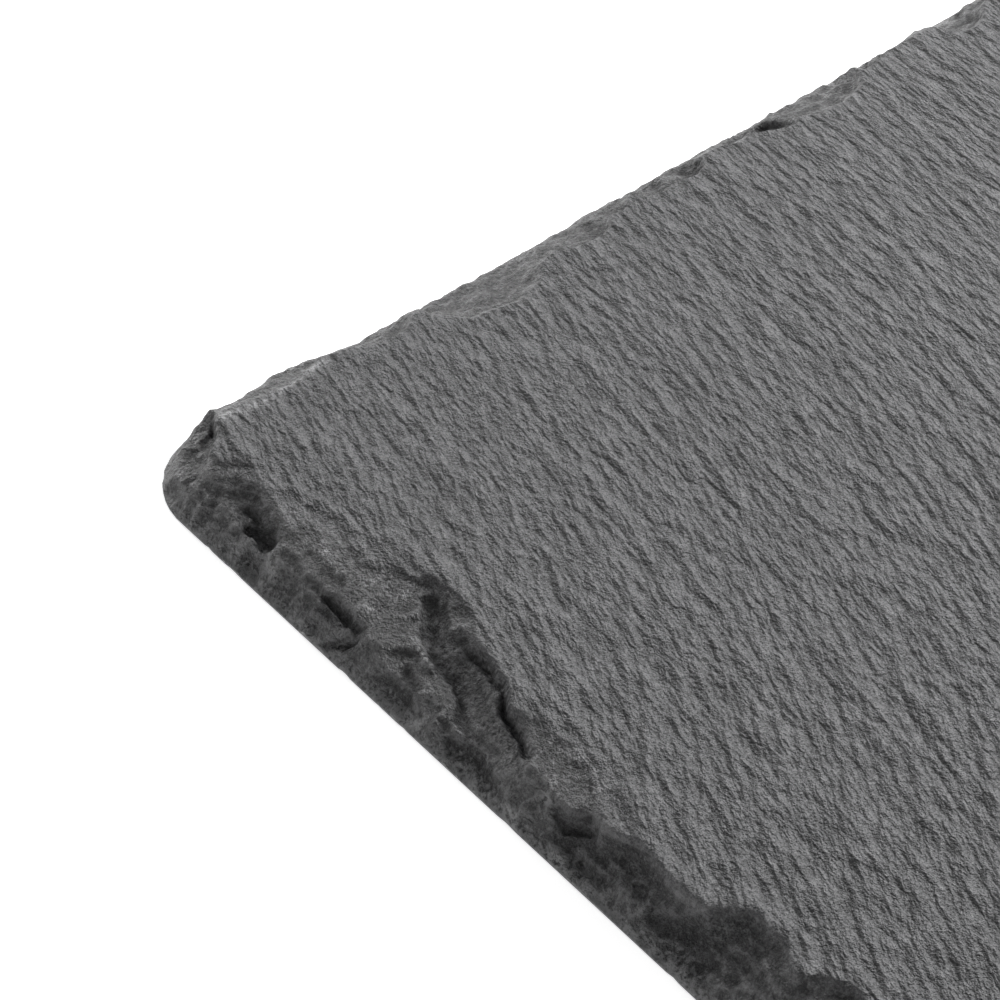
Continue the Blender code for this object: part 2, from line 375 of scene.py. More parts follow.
def all_scars():
    """Every scar with the side that it belongs to."""
    found = [(FRONT, scar) for scar in CORNER_SCARS + FRONT_SCARS + CRACKS]
    found += [(LEFT, scar) for scar in LEFT_SCARS]
    for edge, begin, end, seed in KNAPPED_RUNS:
        found += [(edge, scar) for scar in knapped_run(begin, end, seed)]
    return found


def lumps(x, y, size, seed):
    """A smooth random field from -1 to 1, whose lumps are about one size across."""
    table = np.random.default_rng(seed).uniform(-1, 1, (NOISE_TABLE, NOISE_TABLE))
    column = np.floor(x / size).astype(int)
    row = np.floor(y / size).astype(int)
    across = x / size - column
    up = y / size - row
    across = across * across * (3 - 2 * across)
    up = up * up * (3 - 2 * up)

    def corner(right, above):
        return table[(column + right) % NOISE_TABLE, (row + above) % NOISE_TABLE]

    low = corner(0, 0) * (1 - across) + corner(1, 0) * across
    high = corner(0, 1) * (1 - across) + corner(1, 1) * across
    return low * (1 - up) + high * up


def hollows(x, y, size, seed):
    """A field of shell-like hollows about one size across: 0 in their middles, 1 on high ridges."""
    table = np.random.default_rng(seed).uniform(0, 1, (NOISE_TABLE, NOISE_TABLE, 2))
    column = np.floor(x / size).astype(int)
    row = np.floor(y / size).astype(int)
    nearest = np.ones(np.shape(x))
    for right in (-1, 0, 1):
        for above in (-1, 0, 1):
            middle = table[(column + right) % NOISE_TABLE, (row + above) % NOISE_TABLE]
            away_x = x / size - (column + right) - middle[..., 0]
            away_y = y / size - (row + above) - middle[..., 1]
            nearest = np.minimum(nearest, away_x**2 + away_y**2)
    return nearest


def inset_of(x, y):
    """How far in from the slab's outline each place is."""
    out_x = np.abs(x) - (LENGTH / 2 - CORNER_RADIUS)
    out_y = np.abs(y) - (WIDTH / 2 - CORNER_RADIUS)
    beyond = np.hypot(np.maximum(out_x, 0), np.maximum(out_y, 0))
    return CORNER_RADIUS - beyond - np.minimum(np.maximum(out_x, out_y), 0)


def bevel_height(x, y):
    """The plain bevel that the scars are cut into: it rises from the lip, steeply at first."""
    width = BEVEL_WIDTH + BEVEL_WANDER * lumps(x, y, BEVEL_LUMP, BEVEL_SEED)
    narrower = np.zeros(np.shape(x))
    for along, inward, size, gain in SPURS:
        away = np.hypot(x + LENGTH / 2 - along, y + WIDTH / 2 - inward) / size
        narrower = np.maximum(narrower, gain * np.exp(-(away**2)))
    width = width - narrower
    lip = LIP_HEIGHT + LIP_WANDER * lumps(x, y, LIP_LUMP, LIP_SEED)
    share = np.clip(inset_of(x, y) / width, 0, 1)
    return lip + (THICKNESS - lip) * (1 - (1 - share) ** BEVEL_BULGE)


def scooped(height, edge, scar, x, y):
    """Lowers the height to the floor and walls of one scar."""
    rel_x = x - edge.start[0]
    rel_y = y - edge.start[1]
    along = rel_x * edge.along[0] + rel_y * edge.along[1] - scar.along * MM
    inward = rel_x * edge.inward[0] + rel_y * edge.inward[1] - scar.inward * MM
    reach = SCAR_REACH * max(scar.half_length, scar.half_width) * MM
    near = np.nonzero((np.abs(along) < reach) & (np.abs(inward) < reach))
    along, inward = along[near], inward[near]
    turn = math.radians(scar.turn)
    p = (along * math.cos(turn) + inward * math.sin(turn)) / (scar.half_length * MM)
    q = (inward * math.cos(turn) - along * math.sin(turn)) / (scar.half_width * MM)
    middle = (scar.outer_height + scar.inner_height) / 2 * MM
    slope = (scar.inner_height - scar.outer_height) / 2 * MM
    wall = THICKNESS - scar.inner_height * MM
    rise = np.minimum(np.hypot(p, q), SCAR_REACH) ** scar.crispness
    scoop = middle + slope * np.clip(q, -FLOOR_REACH, 1) + wall * rise
    soft = ROUNDING / scar.crispness**2
    overlap = np.maximum(soft - np.abs(height[near] - scoop), 0)
    height[near] = np.minimum(height[near], scoop) - overlap**2 / (4 * soft)


def stepped(height, x, y, step, share, sharpness, lump, seed):
    """Draws the height part of the way to the nearest cleavage steps."""
    level = (height + step * lumps(x, y, lump, seed)) / step
    part = level - np.floor(level)
    ledge = part**sharpness / (part**sharpness + (1 - part) ** sharpness)
    return height + share * step * (ledge - part)


def upper_height(x, y):
    """How high the slab's upper side is at each place, before the ripples."""
    bent_x = x
    bent_y = y
    for far, size, seed in WARPS:
        bent_x = bent_x + far * lumps(x, y, size, seed)
        bent_y = bent_y + far * lumps(x, y, size, seed + 1)
    height = bevel_height(x, y)
    for edge, scar in all_scars():
        scooped(height, edge, scar, bent_x, bent_y)
    broken = np.clip((THICKNESS - height) / CHIP_FADE, 0, 1)
    for depth, size, seed in CHIPS:
        height = height - broken * depth * (CHIP_LEVEL - hollows(bent_x, bent_y, size, seed))
    crumble = broken * CRUMBLE * np.clip(1 - inset_of(x, y) / CRUMBLE_REACH, 0, 1)
    height = height - crumble * (CRUMBLE_LEVEL - hollows(bent_x, bent_y, CRUMBLE_SIZE, CRUMBLE_SEED))
    for step, share, sharpness, lump, seed in STEPS:
        height = stepped(height, x, y, step, share, sharpness, lump, seed)
    flat = np.clip((inset_of(x, y) / BAND - FLAT_FROM) / (FLAT_BY - FLAT_FROM), 0, 1)
    height = np.maximum(height, LEAST_HEIGHT)
    return np.minimum(height * (1 - flat) + THICKNESS * flat, THICKNESS)


def blurred_height(x, y):
    """The mean of four heights close round each place, so that no wall is steeper than the mesh."""
    corners = ((BLUR, BLUR), (-BLUR, BLUR), (-BLUR, -BLUR), (BLUR, -BLUR))
    return sum(upper_height(x + away_x, y + away_y) for away_x, away_y in corners) / len(corners)


def border_points(inset, long_count, short_count):
    """Points round the band at an inset, on straight spokes from the outline to the middle's border."""
    half_x = LENGTH / 2 - BAND
    half_y = WIDTH / 2 - BAND
    straight_x = LENGTH / 2 - CORNER_RADIUS
    straight_y = WIDTH / 2 - CORNER_RADIUS
    bend = CORNER_RADIUS * math.pi / 4
    sides = (
        (1, 0, 0, -1, half_x, half_y, straight_x, straight_y, long_count),
        (0, 1, 1, 0, half_y, half_x, straight_y, straight_x, short_count),
        (-1, 0, 0, 1, half_x, half_y, straight_x, straight_y, long_count),
        (0, -1, -1, 0, half_y, half_x, straight_y, straight_x, short_count),
    )
    rows = []
    for way_x, way_y, out_x, out_y, half, out, straight, apart, count in sides:
        share = np.arange(count) / count * 2 - 1
        inner = np.stack([share * half, np.full(count, out)], -1)
        path = share * (straight + bend)
        beyond = np.maximum(np.abs(path) - straight, 0) / CORNER_RADIUS
        reach = straight + CORNER_RADIUS * np.sin(beyond)
        run = np.where(np.abs(path) > straight, np.sign(path) * reach, path)
        outer = np.stack([run, apart + CORNER_RADIUS * np.cos(beyond)], -1)
        local = outer + (inner - outer) * (inset / BAND)
        across = local[:, 0] * way_x + local[:, 1] * out_x
        up = local[:, 0] * way_y + local[:, 1] * out_y
        rows.append(np.stack([across, up], -1))
    return np.concatenate(rows)


class Surface:
    """Gathers places and faces, and turns them into one mesh."""

    def __init__(self):
        self.places = []
        self.squares = []
        self.triangles = []
        self.count = 0
        self.turned = False

    def add(self, x, y, z):
        """Adds places and returns their numbers, in the same arrangement."""
        self.places.append(np.stack([x, y, z], -1).reshape(-1, 3))
        numbers = self.count + np.arange(x.size).reshape(x.shape)
        self.count += x.size
        return numbers

    def face(self, *corners):
        """One face for each set of corners, turned over while the underside is made."""
        faces = np.stack(corners[::-1] if self.turned else corners, -1)
        (self.squares if len(corners) == 4 else self.triangles).append(faces)

    def ring(self, outer, inner):
        """Faces between two closed rows of as many points, or with twice as many on the outer one."""
        after = np.roll(outer, -1)
        after_inner = np.roll(inner, -1)
        if len(outer) == len(inner):
            self.face(outer, after, after_inner, inner)
            return
        even, odd, after = outer[0::2], outer[1::2], np.roll(outer[0::2], -1)
        self.face(even, odd, inner)
        self.face(odd, after, after_inner)
        self.face(odd, after_inner, inner)

    def grid(self, numbers):
        """Faces over a rectangle of places that is counted along x first."""
        low, high = numbers[:-1], numbers[1:]
        corners = low[:, :-1], high[:, :-1], high[:, 1:], low[:, 1:]
        self.face(*(corner.ravel() for corner in corners))

    def mesh(self, name):
        """The gathered surface as a Blender mesh, each square cut along its flatter diagonal."""
        places = np.concatenate(self.places)
        squares = np.concatenate(self.squares)
        level = places[squares, 2]
        flat = np.abs(level[:, 0] - level[:, 2]) <= np.abs(level[:, 1] - level[:, 3])
        first = np.where(flat[:, None], squares[:, [0, 1, 2]], squares[:, [0, 1, 3]])
        second = np.where(flat[:, None], squares[:, [0, 2, 3]], squares[:, [1, 2, 3]])
        faces = np.concatenate([first, second, *self.triangles])
        made = bpy.data.meshes.new(name)
        made.vertices.add(len(places))
        made.vertices.foreach_set("co", places.ravel())
        made.loops.add(faces.size)
        made.loops.foreach_set("vertex_index", faces.ravel())
        made.polygons.add(len(faces))
        made.polygons.foreach_set("loop_start", np.arange(len(faces)) * 3)
        made.update(calc_edges=True)
        return made


def grid_border(numbers):
    """The outer places of a rectangle of places, anticlockwise from its first corner."""
    return np.concatenate(
        [numbers[:-1, 0], numbers[-1, :-1], numbers[:0:-1, -1], numbers[0, :0:-1]]
    )


def middle_grid(long_count, short_count):
    """The plan of the flat middle as a rectangle of places."""
    x = np.linspace(-LENGTH / 2 + BAND, LENGTH / 2 - BAND, long_count + 1)
    y = np.linspace(-WIDTH / 2 + BAND, WIDTH / 2 - BAND, short_count + 1)
    return np.meshgrid(x, y, indexing="ij")


def nicked(points):
    """Moves the outline's points inwards at small nicks in the arris."""
    x, y = points[:, 0], points[:, 1]
    bite = NICK * np.clip(lumps(x, y, NICK_LUMP, NICK_SEED) - NICK_LEVEL, 0, 1)
    middle_x = np.clip(x, -LENGTH / 2 + CORNER_RADIUS, LENGTH / 2 - CORNER_RADIUS)
    middle_y = np.clip(y, -WIDTH / 2 + CORNER_RADIUS, WIDTH / 2 - CORNER_RADIUS)
    away = np.stack([x - middle_x, y - middle_y], -1)
    away /= np.linalg.norm(away, axis=1, keepdims=True)
    return points - away * bite[:, None]


def under_height(x, y):
    """The low lumps of the underside."""
    return UNDER_RELIEF * (0.5 + 0.5 * lumps(x, y, UNDER_LUMP, UNDER_SEED))


def stone_mesh():
    """The whole stone before its ripples: fine along the knapped band and coarser underneath."""
    surface = Surface()
    wide = 4 * LONG_SQUARES, 4 * SHORT_SQUARES
    rows = []
    for row in range(BAND_ROWS):
        points = border_points(BAND * row / BAND_ROWS, *wide)
        if row == 0:
            points = nicked(points)
        x, y = points[:, 0], points[:, 1]
        rows.append(surface.add(x, y, blurred_height(x, y)))
    x, y = middle_grid(2 * LONG_SQUARES, 2 * SHORT_SQUARES)
    sag = SAG * (0.5 + 0.5 * lumps(x, y, SAG_LUMP, SAG_SEED))
    edge = np.minimum(LENGTH / 2 - BAND - np.abs(x), WIDTH / 2 - BAND - np.abs(y))
    middle = surface.add(x, y, THICKNESS - sag * np.clip(edge / SAG_LUMP, 0, 1))
    surface.grid(middle)
    for outer, inner in zip(rows, rows[1:]):
        surface.ring(outer, inner)
    surface.ring(rows[-1], grid_border(middle))

    arris = nicked(border_points(0.0, *wide))
    low = surface.add(arris[:, 0], arris[:, 1], np.zeros(len(arris)))
    surface.ring(low, rows[0])

    under = []
    for row in range(1, UNDER_ROWS):
        count = 2 if row == 1 else 1
        points = border_points(BAND * row / UNDER_ROWS, count * LONG_SQUARES, count * SHORT_SQUARES)
        x, y = points[:, 0], points[:, 1]
        under.append(surface.add(x, y, under_height(x, y) * min(1, (row - 1) / UNDER_EASE)))
    x, y = middle_grid(LONG_SQUARES, SHORT_SQUARES)
    below = surface.add(x, y, under_height(x, y))
    surface.turned = True
    surface.ring(low, under[0])
    for outer, inner in zip(under, under[1:]):
        surface.ring(outer, inner)
    surface.ring(under[-1], grid_border(below))
    surface.grid(below)
    return surface.mesh(NODE)


def store(mesh, name, values):
    """Writes one number for each of the mesh's places."""
    if name in mesh.attributes:
        mesh.attributes.remove(mesh.attributes[name])
    layer = mesh.attributes.new(name, "FLOAT", "POINT")
    layer.data.foreach_set("value", np.asarray(values, dtype=np.float32))


def places_of(mesh):
    """The mesh's places as an array."""
    flat = np.empty(len(mesh.vertices) * 3)
    mesh.vertices.foreach_get("co", flat)
    return flat.reshape(-1, 3)


def keep_inside(mesh, low, high):
    """Draws places that lie a hair outside a box back to its sides."""
    places = np.clip(places_of(mesh), low, high)
    mesh.vertices.foreach_set("co", places.astype(np.float32).ravel())
    mesh.update()


def describe_surface(mesh):
    """Stores where the split face is whole, where ridges and hollows are, and where the stone is low."""
    places = places_of(mesh)
    x, y, z = places.T
    height = np.full(len(x), THICKNESS)
    ridge = np.zeros(len(x))
    bruise = np.zeros(len(x))
    band = inset_of(x, y) < BAND
    band_x, band_y = x[band], y[band]
    here = upper_height(band_x, band_y)
    around = np.zeros(len(band_x))
    for away_x, away_y in ((RIDGE_REACH, 0), (-RIDGE_REACH, 0), (0, RIDGE_REACH), (0, -RIDGE_REACH)):
        around += upper_height(band_x + away_x, band_y + away_y) / 4
    height[band] = here
    ridge[band] = (here - around) / RIDGE_HEIGHT
    for along, inward, to_along, to_inward in BRUISES:
        start = np.array([along * MM - LENGTH / 2, inward * MM - WIDTH / 2])
        way = np.array([to_along - along, to_inward - inward]) * MM
        away = places[band, :2] - start
        share = np.clip(away @ way / (way @ way), 0, 1)
        far = np.linalg.norm(away - share[:, None] * way, axis=1) / BRUISE_WIDTH
        bruise[band] = np.maximum(bruise[band], np.exp(-(far**2)))
    whole = 1 - np.clip((THICKNESS - height - WHOLE_DEPTH) / WHOLE_FADE, 0, 1)
    whole[(z < UNDER_TOP) & (inset_of(x, y) > UNDER_INSET)] = 1
    store(mesh, "whole", whole)
    store(mesh, "ridge", np.clip(ridge, -1, 1))
    store(mesh, "bruise", bruise)
    store(mesh, "low", np.clip(1 - z / LOW_HEIGHT, 0, 1))


class Nodes:
    """Adds nodes to a tree and links them."""

    def __init__(self, tree):
        self.tree = tree

    def add(self, kind, inputs=None, **settings):
        """A node with its settings, and its inputs set to numbers or linked to sockets."""
        node = self.tree.nodes.new(kind)
        for name, value in settings.items():
            setattr(node, name, value)
        for name, value in (inputs or {}).items():
            socket = node.inputs[name]
            if isinstance(value, bpy.types.NodeSocket):
                self.tree.links.new(value, socket)
            else:
                socket.default_value = value
        return node

    def maths(self, operation, first, second=0.0, third=0.0):
        """The result of one sum on numbers or sockets."""
        node = self.add("ShaderNodeMath", {0: first, 1: second, 2: third}, operation=operation)
        return node.outputs[0]

    def noise(self, where, scale, detail=2.0, rough=0.5, distortion=0.0, seed=0.0):
        """Noise from 0 to 1 in four dimensions, the fourth of which is its seed."""
        node = self.add(
            "ShaderNodeTexNoise",
            {
                "Vector": where,
                "W": seed,
                "Scale": scale,
                "Detail": detail,
                "Roughness": rough,
                "Distortion": distortion,
            },
            noise_dimensions="4D",
        )
        return node.outputs[0]

    def stretch(self, where, amounts):
        """The place scaled along each axis."""
        node = self.add("ShaderNodeVectorMath", {0: where, 1: amounts}, operation="MULTIPLY")
        return node.outputs[0]

    def along_grain(self, where):
        """The place turned so that x runs along the bending grain and y across it."""
        turned = self.add(
            "ShaderNodeVectorRotate",
            {"Vector": where, "Angle": -GRAIN_TURN},
            rotation_type="Z_AXIS",
        )
        split = self.add("ShaderNodeSeparateXYZ", {0: turned.outputs[0]})
        run, across, rise = split.outputs
        square = self.maths("MULTIPLY", run, run)
        across = self.maths("MULTIPLY_ADD", square, GRAIN_BEND, across)
        return self.add("ShaderNodeCombineXYZ", {0: run, 1: across, 2: rise}).outputs[0]


def ripple_tree():
    """The Geometry Nodes tree that carves the ripples into the split face, where it is whole."""
    tree = bpy.data.node_groups.new("Riven ripples", "GeometryNodeTree")
    ask = tree.interface
    ask.new_socket("Geometry", in_out="INPUT", socket_type="NodeSocketGeometry")
    for name in ("Ripple height", "Ripple spacing", "Streak length"):
        ask.new_socket(name, in_out="INPUT", socket_type="NodeSocketFloat")
    ask.new_socket("Seed", in_out="INPUT", socket_type="NodeSocketInt")
    ask.new_socket("Stone", in_out="INPUT", socket_type="NodeSocketMaterial")
    ask.new_socket("Geometry", in_out="OUTPUT", socket_type="NodeSocketGeometry")
    nodes = Nodes(tree)
    given = nodes.add("NodeGroupInput").outputs
    place = nodes.add("GeometryNodeInputPosition").outputs[0]
    along = nodes.along_grain(place)
    length = nodes.maths("DIVIDE", 1.0, given["Streak length"])
    spacing = nodes.maths("DIVIDE", 1.0, given["Ripple spacing"])
    scale = nodes.add("ShaderNodeCombineXYZ", {0: length, 1: spacing, 2: spacing}).outputs[0]
    stretched = nodes.stretch(along, scale)
    seed = nodes.maths("MULTIPLY", given["Seed"], SEED_STRIDE)
    ripples = nodes.noise(stretched, 1.0, RIPPLE_DETAIL, RIPPLE_ROUGH, RIPPLE_DISTORTION, seed)
    whole = nodes.add(
        "GeometryNodeInputNamedAttribute", {"Name": "whole"}, data_type="FLOAT"
    ).outputs[0]
    drop = nodes.maths("SUBTRACT", ripples, RIPPLE_LEVEL)
    drop = nodes.maths("MULTIPLY", drop, given["Ripple height"])
    drop = nodes.maths("MULTIPLY", drop, nodes.maths("MULTIPLY", whole, RIPPLE_GAIN))
    move = nodes.add("ShaderNodeCombineXYZ", {2: drop}).outputs[0]
    height = nodes.add("ShaderNodeSeparateXYZ", {0: place}).outputs[2]
    above = nodes.add(
        "FunctionNodeCompare", {0: height, 1: UPPER_SIDE}, operation="GREATER_THAN"
    ).outputs[0]
    moved = nodes.add(
        "GeometryNodeSetPosition",
        {"Geometry": given["Geometry"], "Selection": above, "Offset": move},
    )
    real = nodes.add("GeometryNodeRealizeInstances", {"Geometry": moved.outputs[0]})
    stone = nodes.add(
        "GeometryNodeSetMaterial", {"Geometry": real.outputs[0], "Material": given["Stone"]}
    )
    nodes.add("NodeGroupOutput", {"Geometry": stone.outputs[0]})
    return tree


class Streak(NamedTuple):
    """A pattern drawn out along the grain: its length and spacing in millimetres and how rough it is."""

    length: float
    spacing: float
    detail: float
    rough: float
    distortion: float
    seed: float


class Grain(NamedTuple):
    """A pattern that runs no particular way: the size of its spots in millimetres and how rough it is."""

    size: float
    detail: float
    rough: float
    distortion: float
    seed: float


class Coat(NamedTuple):
    """A colour laid over the stone where a pattern goes from low to high, and the most of it there."""

    pattern: str
    low: float
    high: float
    most: float
    colour: str


STREAKS = {
    "bundles": Streak(7.5, 2.2, 1.0, 0.5, 0.3, 3.9),
    "ripples": Streak(2.9, 1.1, 1.0, 0.5, 0.3, 1.3),
    "streaks": Streak(1.15, 0.48, 1.0, 0.6, 0.2, 2.7),
    "broad": Streak(16.0, 5.0, 2.0, 0.5, 0.3, 6.4),
}
GRAINS = {
    "grit": Grain(0.30, 2.0, 0.7, 0.0, 5.1),
    "flecks": Grain(0.15, 1.0, 0.6, 0.0, 7.7),
    "mottle": Grain(1.6, 4.0, 0.65, 0.4, 8.2),
    "specks": Grain(0.45, 3.0, 0.7, 0.0, 4.4),
}

# The streaks' borders are stirred by up to about this much, in spots of this size
STIR = 0.45 * MM
STIR_SIZE = 0.55 * MM
STIR_DETAIL = 2.0
STIR_ROUGH = 0.6
STIR_SEED = 3.3

# Fine cracks follow the middle level of a noise: how large it is each way, and how near to that level a
# crack begins and is full
CRACK_SIZES = (7 * MM, 2.6 * MM, 2 * MM)
CRACK_SEED = 9.3
CRACK_BEGINS = 0.014
CRACK_FULL = 0.004

# The ripples are drawn towards this many ledges, which are steep over the middle part of each
LEDGES = 7.0
LEDGE_BEGINS = 0.35
LEDGE_ENDS = 0.65

# The mottle moves the border between broken stone and split face by this much
BORDER_STIR = 0.8
BORDER_BEGINS = 0.35
BORDER_ENDS = 0.65

# Where the mottle and the specks let cracks, the pale rim and the bruises begin, and where they are full
CRACK_MOTTLE = (0.5, 0.6)
RIM_MOTTLE = (0.48, 0.62)
RIM_SPECKS = (0.48, 0.6)
BRUISE_SPECKS = (0.4, 0.54)

# How much of which patterns the fine relief and two further patterns are made of
FACE_RELIEF = (("ripples", 1.1), ("terrace", 0.3), ("streaks", 0.48), ("bundles", 1.25), ("grit", 0.34))
SCAR_RELIEF = (("mottle", 0.3), ("specks", 0.95), ("grit", 0.45), ("crack", -0.10))
# The shade pattern follows the ripples' and streaks' relief, so the colour that it lays down is painted shade
# in their hollows.
SHADE_MIX = (("ripples", 0.75), ("streaks", 0.45))
CRUSHED_MIX = (("specks", 1.2), ("low", 0.5))

# Further colours: which one each is made from, and how bright it is beside it
TINTS = {
    "deep hollow": ("hollow", 0.3),
    "dark": ("broken", 0.35),
    "pale rim": ("bruise", 1.2),
    "crushed": ("bruise", 1.3),
    "bright bruise": ("bruise", 1.9),
}

# What is laid over the hollows' colour, over the broken stone's, and then over both
FACE_COATS = (
    # Painted shade: the hollows between the ripples and streaks are darkened towards the hollow colour; the
    # lighter crests are partly dust and partly painted light.
    Coat("shade", 0.42, 0.76, 1.0, "face"),
    Coat("broad", 0.35, 0.7, 0.1, "hollow"),
    Coat("grit", 0.5, 0.8, 0.5, "bruise"),
    # Pale along the streaks' crests: partly pale dust, partly painted highlight.
    Coat("streaks", 0.52, 0.72, 0.45, "bruise"),
    Coat("flecks", 0.52, 0.3, 0.6, "deep hollow"),
    Coat("flecks", 0.5, 0.75, 0.6, "bruise"),
)
SCAR_COATS = (
    Coat("mottle", 0.46, 0.60, 0.5, "bruise"),
    Coat("crest", 0.1, 0.4, 0.7, "bruise"),
    # Painted shade: the broken stone is darkened in its concave hollows.
    Coat("ridge", -0.35, -1.0, 0.4, "dark"),
    Coat("specks", 0.52, 0.68, 0.7, "bruise"),
    Coat("specks", 0.48, 0.34, 0.6, "dark"),
    Coat("flecks", 0.52, 0.72, 0.5, "bruise"),
    Coat("flecks", 0.48, 0.3, 0.5, "dark"),
    Coat("crack", 0.0, 1.0, 0.8, "dark"),
    Coat("crushing", 0.76, 0.94, 0.85, "crushed"),
)
LAST_COATS = (
    Coat("rim", 0.0, 1.0, 0.7, "pale rim"),
    Coat("bruise", 0.0, 1.0, 0.8, "bright bruise"),
)

SCAR_ROUGHNESS = 0.36
FACE_ROUGHNESS = 0.6
GRIT_ROUGHNESS = 0.15
STONE_SPECULAR = 0.5


class StoneNodes(Nodes):
    """The nodes of the stone's material, with its patterns and colours by name."""

    def __init__(self, tree, colours):
        super().__init__(tree)
        self.patterns = {}
        self.paints = {name: tuple(getattr(colours, name)) for name in ("face", "hollow", "broken", "bruise")}
        for name, (source, bright) in TINTS.items():
            self.paints[name] = tuple(bright * part for part in self.paints[source])

    def attribute(self, name):
        """One of the mesh's own numbers."""
        return self.add("ShaderNodeAttribute", attribute_name=name).outputs["Fac"]

    def remap(self, value, low, high, most=1.0):
        """From 0 to most while the value goes from low to high, and level beyond them."""
        node = self.add("ShaderNodeMapRange", {"Value": value, 1: low, 2: high, 3: 0.0, 4: most}, clamp=True)
        return node.outputs[0]

    def mix(self, share, first, second):
        """One number blended into another."""
        return self.add("ShaderNodeMix", {0: share, 2: first, 3: second}, data_type="FLOAT").outputs[0]

    def blend(self, share, first, second):
        """One colour blended into another, each a socket or three numbers."""
        node = self.add("ShaderNodeMix", {0: share}, data_type="RGBA")
        for socket, value in ((node.inputs[6], first), (node.inputs[7], second)):
            if isinstance(value, bpy.types.NodeSocket):
                self.tree.links.new(value, socket)
            else:
                socket.default_value = (*value, 1.0)
        return node.outputs[2]

    def total(self, amounts):
        """The sum of patterns, each times its amount."""
        result = 0.0
        for name, amount in amounts:
            result = self.maths("MULTIPLY_ADD", self.patterns[name], amount, result)
        return result

    def coated(self, stone, coats):
        """The stone's colour with the coats laid over it in turn."""
        for coat in coats:
            share = self.remap(self.patterns[coat.pattern], coat.low, coat.high, coat.most)
            stone = self.blend(share, stone, self.paints[coat.colour])
        return stone

    def stirred(self, place):
        """The place moved a little this way and that."""
        stir = self.add(
            "ShaderNodeTexNoise",
            {
                "Vector": place,
                "W": STIR_SEED,
                "Scale": 1 / STIR_SIZE,
                "Detail": STIR_DETAIL,
                "Roughness": STIR_ROUGH,
            },
            noise_dimensions="4D",
        ).outputs["Color"]
        away = self.add("ShaderNodeVectorMath", {0: stir, 1: (0.5, 0.5, 0.5)}, operation="SUBTRACT")
        moved = self.add(
            "ShaderNodeVectorMath",
            {0: away.outputs[0], 1: (STIR, STIR, STIR), 2: place},
            operation="MULTIPLY_ADD",
        )
        return moved.outputs[0]

    def cracks(self, place, mottle):
        """Fine cracks where a noise is at its middle level and the mottle is pale."""
        where = self.stretch(place, tuple(1 / size for size in CRACK_SIZES))
        vein = self.noise(where, 1.0, detail=0.0, seed=CRACK_SEED)
        vein = self.maths("ABSOLUTE", self.maths("SUBTRACT", vein, 0.5))
        crack = self.remap(vein, CRACK_BEGINS, CRACK_FULL)
        return self.maths("MULTIPLY", crack, self.remap(mottle, *CRACK_MOTTLE))

    def terraces(self, ripples):
        """The ripples drawn towards ledges."""
        level = self.maths("MULTIPLY", ripples, LEDGES)
        part = self.maths("FRACT", level)
        ledge = self.add(
            "ShaderNodeMapRange",
            {"Value": part, 1: LEDGE_BEGINS, 2: LEDGE_ENDS},
            interpolation_type="SMOOTHSTEP",
        )
        terrace = self.maths("ADD", self.maths("SUBTRACT", level, part), ledge.outputs[0])
        return self.maths("DIVIDE", terrace, LEDGES)

    def make_patterns(self):
        """Makes every pattern from the place on the stone and the mesh's own numbers."""
        made = self.patterns
        place = self.add("ShaderNodeTexCoord").outputs["Object"]
        along = self.along_grain(self.stirred(place))
        for name, (length, spacing, *rest) in STREAKS.items():
            scale = (1 / (length * MM), 1 / (spacing * MM), 1 / (spacing * MM))
            made[name] = self.noise(self.stretch(along, scale), 1.0, *rest)
        for name, (size, *rest) in GRAINS.items():
            made[name] = self.noise(place, 1 / (size * MM), *rest)
        for name in ("whole", "ridge", "low"):
            made[name] = self.attribute(name)
        made["crack"] = self.cracks(place, made["mottle"])
        made["terrace"] = self.terraces(made["ripples"])
        made["shade"] = self.total(SHADE_MIX)
        made["crushing"] = self.total(CRUSHED_MIX)
        made["crest"] = self.maths("MULTIPLY", made["ridge"], made["mottle"])

        border = self.maths("SUBTRACT", made["whole"], BORDER_STIR / 2)
        border = self.maths("MULTIPLY_ADD", made["mottle"], BORDER_STIR, border)
        made["border"] = self.remap(border, BORDER_BEGINS, BORDER_ENDS)
        rim = self.maths("MULTIPLY", made["whole"], self.maths("SUBTRACT", 1.0, made["whole"]))
        rim = self.maths("MULTIPLY", rim, 4.0)
        rim = self.maths("MULTIPLY", rim, self.remap(made["mottle"], *RIM_MOTTLE))
        made["rim"] = self.maths("MULTIPLY", rim, self.remap(made["specks"], *RIM_SPECKS))
        spots = self.remap(made["specks"], *BRUISE_SPECKS)
        made["bruise"] = self.maths("MULTIPLY", self.attribute("bruise"), spots)


